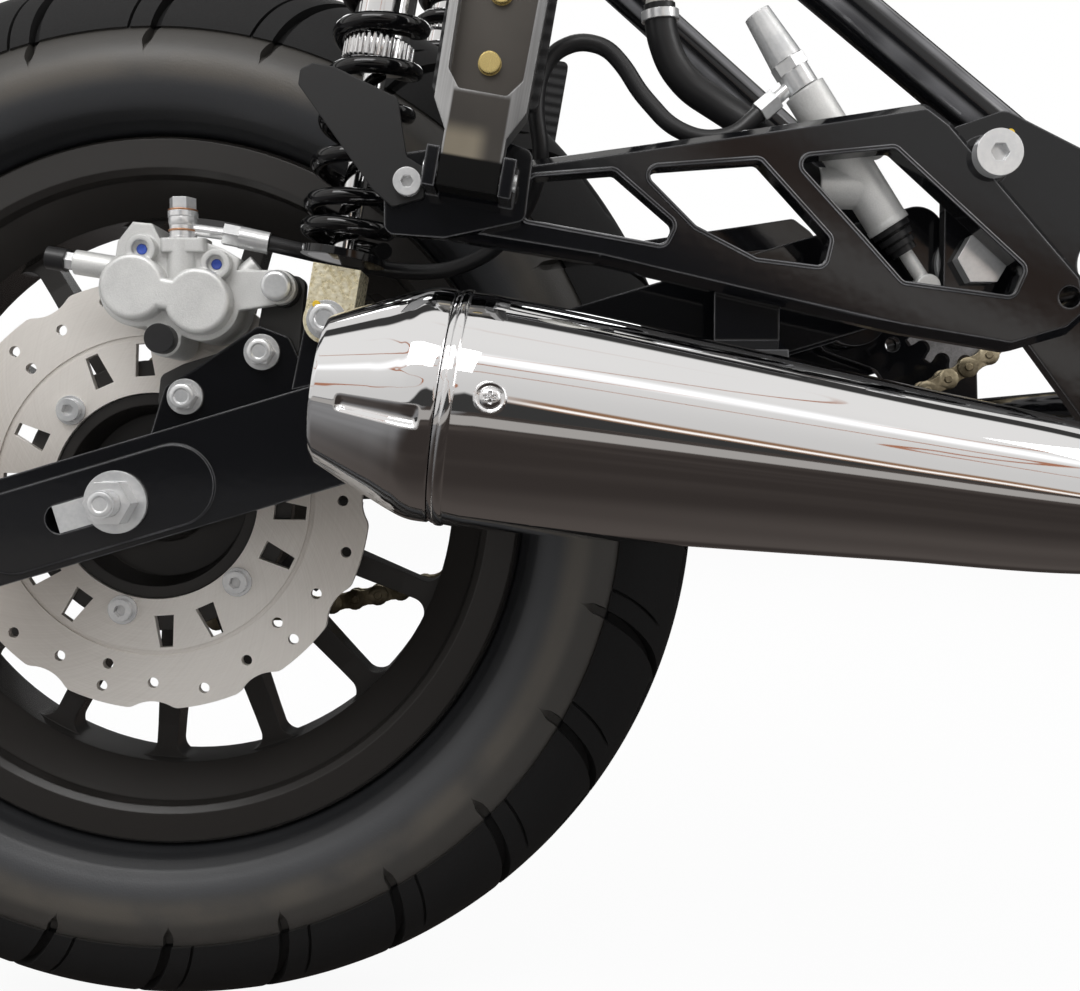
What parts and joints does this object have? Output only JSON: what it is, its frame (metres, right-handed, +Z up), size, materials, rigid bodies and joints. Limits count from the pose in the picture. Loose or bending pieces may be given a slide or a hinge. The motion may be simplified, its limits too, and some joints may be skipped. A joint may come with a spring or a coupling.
{
  "type": "motorcycle rear end",
  "caption": "Rear end of a road motorcycle: spoked cast wheel with wave brake disc, swing arm, twin shock absorbers, chain drive, conical silencer, footrest hangers and frame stays.",
  "frame": {"origin": "middle of the lower front cross tube's bore, where the main frame's bolt holds the rear end", "axes": "+X forward, +Y to the rider's left, +Z up; the wheel turns about Y"},
  "size_m": [0.8822, 0.4342, 0.7381],
  "materials": {
    "tyre_rubber": "worn black rubber with a moulded sidewall",
    "wheel_black": "semi-gloss black paint on cast aluminium",
    "disc_steel": "ground stainless steel with swept marks",
    "bolt_steel": "zinc-plated steel",
    "gloss_black": "gloss black enamel",
    "sprocket_steel": "hardened dark steel",
    "satin_black": "satin black",
    "chrome": "bright chrome plate",
    "spring_black": "gloss black spring enamel",
    "gold_zinc": "yellow passivated zinc",
    "bracket_grey": "dark grey satin coating",
    "cast_alloy": "fine-blasted cast aluminium",
    "hose_rubber": "black rubber",
    "fluid_white": "milky plastic",
    "chain_steel": "oiled chain steel",
    "peg_alloy": "satin grey aluminium"
  },
  "bodies": {
    "rear_wheel": {"tyre": "tyre_rubber", "cast_wheel": "wheel_black", "brake_disc": "disc_steel", "disc_bolts": "bolt_steel", "sprocket_carrier": "gloss_black", "rear_sprocket": "sprocket_steel", "sprocket_nuts": "bolt_steel"},
    "chassis": {"swing_arm_right": "gloss_black", "swing_arm_left": "gloss_black", "swing_arm_cross_tubes": "gloss_black", "swing_arm_pivot": "bolt_steel", "rear_axle": "bolt_steel", "axle_nut": "bolt_steel", "axle_spacers": "bolt_steel", "chain_adjusters": "bolt_steel", "pivot_plates": "gloss_black", "seat_rails": "gloss_black", "stay_tubes": "gloss_black", "front_cross_tube": "gloss_black", "rail_cross_tubes": "gloss_black", "hanger_right": "gloss_black", "hanger_left": "gloss_black", "hanger_bolts": "bolt_steel", "footrest_brackets": "gloss_black", "footrest_pins": "bolt_steel", "heel_guards": "satin_black", "shock_dampers": "chrome", "shock_springs": "spring_black", "shock_clevises": "gold_zinc", "shock_bolts": "bolt_steel", "silencer_body": "chrome", "silencer_end_cap": "chrome", "silencer_inlet": "chrome", "silencer_bracket": "gloss_black", "caliper_tab": "gloss_black", "caliper_bracket": "bracket_grey", "caliper_bolts": "bolt_steel", "caliper_body": "cast_alloy", "caliper_pin": "bolt_steel", "brake_pads": "bracket_grey", "brake_hose": "hose_rubber", "reservoir_hose": "hose_rubber", "rubber_boots": "hose_rubber", "hose_fittings": "bolt_steel", "master_cylinder": "cast_alloy", "brake_reservoir": "fluid_white", "chain": "chain_steel", "front_sprocket": "sprocket_steel"},
    "footrest_right_body": {"footrest_right": "peg_alloy"},
    "footrest_left_body": {"footrest_left": "peg_alloy"}
  },
  "joints": [
    {"name": "rear_wheel_spin", "type": "hinge", "parent": "chassis", "child": "rear_wheel", "pos_m": [-0.51, 0, -0.045], "axis": [0, 1, 0], "continuous": true},
    {"name": "footrest_right_fold", "type": "hinge", "parent": "chassis", "child": "footrest_right_body", "pos_m": [-0.327, -0.181, 0.107], "axis": [0.9848, 0, -0.1736], "range_deg": [0, 88]},
    {"name": "footrest_left_fold", "type": "hinge", "parent": "chassis", "child": "footrest_left_body", "pos_m": [-0.327, 0.181, 0.107], "axis": [-0.9848, 0, 0.1736], "range_deg": [0, 88]}
  ]
}
